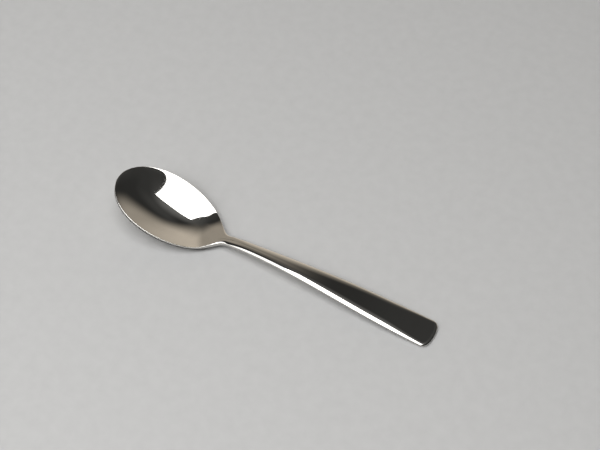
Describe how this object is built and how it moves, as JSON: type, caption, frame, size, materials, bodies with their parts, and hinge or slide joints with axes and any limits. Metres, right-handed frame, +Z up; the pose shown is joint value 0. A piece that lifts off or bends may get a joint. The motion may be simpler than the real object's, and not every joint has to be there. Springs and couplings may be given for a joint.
{
  "type": "teaspoon",
  "caption": "Mirror-polished steel teaspoon with an egg-shaped bowl, a slender neck and a plain flared handle, lying on its back.",
  "frame": {"origin": "middle of the spoon's length and width, on the table it lies on", "axes": "+X from the tip of the bowl to the end of the handle, +Y across the spoon, +Z up out of the open bowl"},
  "size_m": [0.14, 0.0298, 0.0147],
  "materials": {
    "polished_steel": "mirror-polished stainless steel"
  },
  "bodies": {
    "root": {"bowl": "polished_steel", "neck": "polished_steel", "handle": "polished_steel"}
  },
  "joints": []
}
